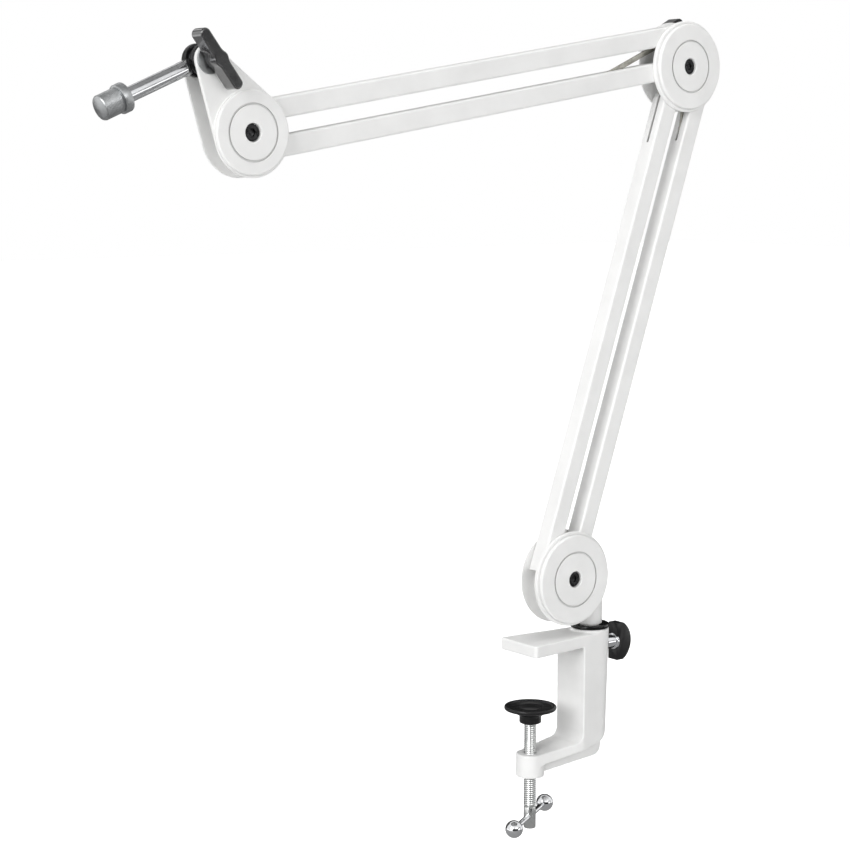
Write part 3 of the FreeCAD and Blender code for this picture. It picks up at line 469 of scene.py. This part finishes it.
def microphoneTip():
    mount = [m for m in frame["record"]["mounts"] if m["name"] == "mic_thread"][0]
    lean = Vector(mount["axis"]).to_track_quat("Z", "Y").to_matrix().to_4x4()
    turn = Matrix.Translation(mount["pos_m"]) @ lean
    thread, end = mount["dims"]["r_mm"], mount["dims"]["length_mm"] / 2
    shoulder = -end
    start, rad, sides = shoulder - tipSpec["collarMm"], tipSpec["collarRadiusMm"], tipSpec["sides"]
    root = thread - tipSpec["depthMm"] - tipSpec["leadMm"] / 2
    first, last = shoulder + tipSpec["neckMm"], end - tipSpec["endMm"]
    bm = bmesh.new()
    latheInto(bm, [(0, start), (rad - 0.9, start), (rad - 0.25, start + 0.2), (rad, start + 0.75),
                   (rad, shoulder - 0.6), (rad - 0.2, shoulder - 0.15), (rad - 0.6, shoulder),
                   (root, shoulder), (root, first)], turn, sides)
    threadInto(bm, turn, first, last - first, thread, tipSpec)
    latheInto(bm, [(root, last), (root - 0.1, end - 0.1), (root - 0.3, end), (0, end)], turn, sides)
    seamsClosed(bm)
    newPiece("microphoneTip", bm, "stud", "chrome", ("mic_thread",), sharpAngle=42)


microphoneTip()

# Tommy bar's balls: turned and polished

ballSpec = {"arcs": 40, "sides": 80}


def tommyBalls():
    low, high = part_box("tommy_balls")
    rad = (high.z - low.z) / 2 / mm
    middle = (low + high) / 2
    reach = Vector((high.x - middle.x - rad * mm, high.y - middle.y - rad * mm, 0))
    bm = bmesh.new()
    arcs = [math.pi * k / ballSpec["arcs"] for k in range(1, ballSpec["arcs"])]
    outline = [(0, -rad)] + [(rad * math.sin(a), -rad * math.cos(a)) for a in arcs] + [(0, rad)]
    lean = reach.to_track_quat("Z", "Y").to_matrix().to_4x4()
    for side in (1, -1):
        latheInto(bm, outline, Matrix.Translation(middle + reach * side) @ lean, ballSpec["sides"])
    body = nodes["tommy_balls"]["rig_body"]
    newPiece("tommyBallPair", bm, body, "chrome", ("tommy_balls",), sharpAngle=60)


tommyBalls()
print("tip and balls made")

# Fasteners, straps and grips: the solids with eased edges

easedMm = {"lock_knob": 0.9, "base_bolt": 0.3, "elbow_bolt": 0.3, "head_bolt": 0.3, "base_nut": 0.3,
           "elbow_nut": 0.3, "head_nut": 0.3, "head_knob_washer": 0.25, "elbow_knob_washer": 0.25,
           "stud_washers": 0.5, "lower_strap": 0.25, "upper_strap": 0.25}
easeSpec = {"segments": 2, "fromDeg": 38, "profile": 0.5}


def softEdges(name, nodeName, widthMm):  # the node with its sharp edges eased
    bm = cleanCopy(nodeName)
    least = math.radians(easeSpec["fromDeg"])
    sharp = [e for e in bm.edges if len(e.link_faces) == 2 and e.calc_face_angle(0.0) > least]
    bmesh.ops.bevel(bm, geom=sharp, offset=widthMm * mm, offset_type="OFFSET", segments=easeSpec["segments"],
                    profile=easeSpec["profile"], affect="EDGES", clamp_overlap=True)
    body = nodes[nodeName]["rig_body"]
    newPiece(name, bm, body, ownSlot.get(nodeName, slotOf[nodeName]), (nodeName,), sharpAngle=36)


for nodeName, width in easedMm.items():
    words = nodeName.split("_")
    softEdges(words[0] + "".join(w.capitalize() for w in words[1:]) + "Eased", nodeName, width)
print("eased pieces:", len(easedMm))

# Studio: pale sweep below the arm, white surround, soft lamps, flags and cards for the metal

studio = {"floorMm": -420, "floorReach": 14.0, "floorLight": "#f4f4f4", "floorShade": "#f2f2f2",
          "cloudMm": 400, "surround": 0.26, "glowNear": 0.6, "glowFar": 1.0, "nearM": 0.6, "farM": 3.0}
white = (1, 1, 1, 1)


def directSight(tree):  # 1 for rays from the camera, a mirror or glass, 0 for those that light a surface
    path = addNode(tree, "ShaderNodeLightPath")
    mirror = addNode(tree, "ShaderNodeMath", {"operation": "MAXIMUM"},
                     {0: path.outputs["Is Camera Ray"], 1: path.outputs["Is Glossy Ray"]})
    seen = addNode(tree, "ShaderNodeMath", {"operation": "MAXIMUM"},
                   {0: mirror.outputs[0], 1: path.outputs["Is Transmission Ray"]})
    return seen.outputs[0]


def sweepMaterial():  # the paint glows to direct sight only, less near the arm so that its shadow stays
    material, tree, shader = newMaterial("paintedSweep", {"Roughness": 0.8, "Emission Color": white})
    place = addNode(tree, "ShaderNodeTexCoord")
    cloud = addNode(tree, "ShaderNodeTexNoise", {"Scale": perMetre(studio["cloudMm"])},
                    {"Vector": place.outputs["Object"]})
    tint = addNode(tree, "ShaderNodeValToRGB", None, {"Fac": cloud.outputs["Fac"]})
    setRamp(tint, linear(studio["floorShade"]), linear(studio["floorLight"]))
    away = addNode(tree, "ShaderNodeVectorMath", {"operation": "LENGTH"}, {0: place.outputs["Object"]})
    level = addNode(tree, "ShaderNodeMapRange", {"From Min": studio["nearM"], "From Max": studio["farM"],
                                                 "To Min": studio["glowNear"], "To Max": studio["glowFar"]},
                    {"Value": away.outputs["Value"]})
    glow = addNode(tree, "ShaderNodeMath", {"operation": "MULTIPLY"},
                   {0: directSight(tree), 1: level.outputs["Result"]})
    tree.links.new(tint.outputs["Color"], shader.inputs["Base Color"])
    tree.links.new(glow.outputs[0], shader.inputs["Emission Strength"])
    return material


def sweepFloor():
    bm = bmesh.new()
    bmesh.ops.create_grid(bm, x_segments=1, y_segments=1, size=studio["floorReach"])
    mesh = bpy.data.meshes.new("studioFloor")
    bm.to_mesh(mesh)
    bm.free()
    floor = bpy.data.objects.new("studioFloor", mesh)
    floor.location.z = studio["floorMm"] * mm
    bpy.context.scene.collection.objects.link(floor)
    mesh.materials.append(sweepMaterial())


def surround():
    world = bpy.data.worlds.new("studioSurround")
    bpy.context.scene.world = world
    world.use_nodes = True
    tree = world.node_tree
    tree.nodes.clear()
    level = addNode(tree, "ShaderNodeMapRange", {"To Min": studio["surround"], "To Max": 1.0},
                    {"Value": directSight(tree)})
    light = addNode(tree, "ShaderNodeBackground", {"Color": white}, {"Strength": level.outputs["Result"]})
    addNode(tree, "ShaderNodeOutputWorld", None, {"Surface": light.outputs["Background"]})


# curtains, and a card that glows though it is no lamp, that only reflections see
# bearings in degrees from +X, heights and radius in metres
flags = {
    "backCurtain": {"from": 10, "to": 118, "radius": 1.9, "low": -0.42, "high": 1.5,
                    "shade": "#0a0a0a", "fade": "#5a5a5a"},
    "frontCurtain": {"from": -150, "to": -35, "radius": 2.2, "low": -0.42, "high": 0.72,
                     "shade": "#0c0c0c", "fade": "#9a9a9a"},
    "frontCard": {"from": -76, "to": -44, "radius": 2.1, "low": -0.2, "high": 0.37,
                  "shade": "#f4f4f4", "glow": 1.1},
}
clothRough = 0.9
fadeFrom = 0.7  # share of its height from which a curtain pales
flagSteps = 24  # straight panels round the bend


def curtainCloth(name, spec):
    material, tree, shader = newMaterial(name, {"Roughness": clothRough})
    place = addNode(tree, "ShaderNodeTexCoord")
    parts = addNode(tree, "ShaderNodeSeparateXYZ", None, {"Vector": place.outputs["Generated"]})
    fade = addNode(tree, "ShaderNodeValToRGB", None, {"Fac": parts.outputs["Z"]})
    setRamp(fade, linear(spec["shade"]), linear(spec["fade"]), fadeFrom, 1.0)
    tree.links.new(fade.outputs["Color"], shader.inputs["Base Color"])
    return material


def cardCloth(name, spec):
    shade = linear(spec["shade"])
    return newMaterial(name, {"Roughness": clothRough, "Base Color": shade, "Emission Color": shade,
                              "Emission Strength": spec.get("glow", 0.0)})[0]


def hangUp(name, bm, material, height=0.0):  # on stage for reflections alone
    mesh = bpy.data.meshes.new(name)
    bm.to_mesh(mesh)
    bm.free()
    mesh.materials.append(material)
    sheet = bpy.data.objects.new(name, mesh)
    sheet.location.z = height
    sheet.visible_camera = sheet.visible_diffuse = sheet.visible_shadow = False
    bpy.context.scene.collection.objects.link(sheet)


def addFlag(name, spec):
    bm = bmesh.new()
    rows = []
    for k in range(flagSteps + 1):
        turn = math.radians(spec["from"] + (spec["to"] - spec["from"]) * k / flagSteps)
        x, y = spec["radius"] * math.cos(turn), spec["radius"] * math.sin(turn)
        rows.append([bm.verts.new((x, y, spec["low"])), bm.verts.new((x, y, spec["high"]))])
    for one, two in zip(rows, rows[1:]):
        bm.faces.new((one[0], two[0], two[1], one[1]))
    cloth = curtainCloth if "fade" in spec else cardCloth
    hangUp(name, bm, cloth(name + "Cloth", spec))


cards = {  # grey discs that only reflections see, just above the floor and high above the arm: metres
    "tableCard": {"radius": 2.2, "height": -0.41, "shade": "#a4a4a4"},
    "ceilingCard": {"radius": 1.7, "height": 2.3, "shade": "#8c8c8c"},
}


def addCard(name, spec):
    bm = bmesh.new()
    bmesh.ops.create_circle(bm, cap_ends=True, segments=64, radius=spec["radius"])
    hangUp(name, bm, cardCloth(name + "Cloth", spec), spec["height"])


lamps = {  # place and aim in metres, size in metres, power in watts
    "keyBox": {"at": (-4.6, -1.5, 2.0), "aim": (0, 0, 0.2), "size": (2.6, 2.6), "power": 134},
    "frontBox": {"at": (-0.4, -4.4, 1.4), "aim": (0, 0, 0.2), "size": (2.4, 1.8), "power": 48},
    "topBox": {"at": (-0.3, -0.2, 3.6), "aim": (0, 0, 0.2), "size": (2.2, 2.2), "power": 50},
    "backBox": {"at": (0.3, 4.4, 1.5), "aim": (0, 0, 0.2), "size": (2.4, 1.8), "power": 62},
}


def addLamp(name, spec):
    lamp = bpy.data.lights.new(name, "AREA")
    lamp.shape = "RECTANGLE"
    lamp.size, lamp.size_y = spec["size"]
    lamp.energy = spec["power"]
    holder = bpy.data.objects.new(name, lamp)
    holder.location = spec["at"]
    holder.rotation_mode = "QUATERNION"
    holder.rotation_quaternion = (Vector(spec["aim"]) - Vector(spec["at"])).to_track_quat("-Z", "Y")
    bpy.context.scene.collection.objects.link(holder)


sweepFloor()
surround()
for lampName, lampSpec in lamps.items():
    addLamp(lampName, lampSpec)
for flagName, flagSpec in flags.items():
    addFlag(flagName, flagSpec)
for cardName, cardSpec in cards.items():
    addCard(cardName, cardSpec)
print("studio set")

# Camera at the photograph's place

cameraSpec = {"atMm": (-926.0, -1079.2, 344.6), "yawDeg": 37.576, "pitchDeg": -7.264, "lensMm": 85.84,
              "sensorMm": 36.0, "farM": 100}


def photoCamera():
    data = bpy.data.cameras.new("photoCamera")
    data.lens, data.sensor_width = cameraSpec["lensMm"], cameraSpec["sensorMm"]
    data.clip_end = cameraSpec["farM"]
    camera = bpy.data.objects.new("photoCamera", data)
    bpy.context.scene.collection.objects.link(camera)
    yaw, pitch = math.radians(cameraSpec["yawDeg"]), math.radians(cameraSpec["pitchDeg"])
    look = Vector((math.sin(yaw) * math.cos(pitch), math.cos(yaw) * math.cos(pitch), math.sin(pitch)))
    camera.location = Vector(cameraSpec["atMm"]) * mm
    camera.rotation_mode = "QUATERNION"
    camera.rotation_quaternion = look.to_track_quat("-Z", "Y")
    bpy.context.scene.camera = camera


photoCamera()
bpy.context.scene.view_settings.view_transform = "Standard"
bpy.context.view_layer.update()
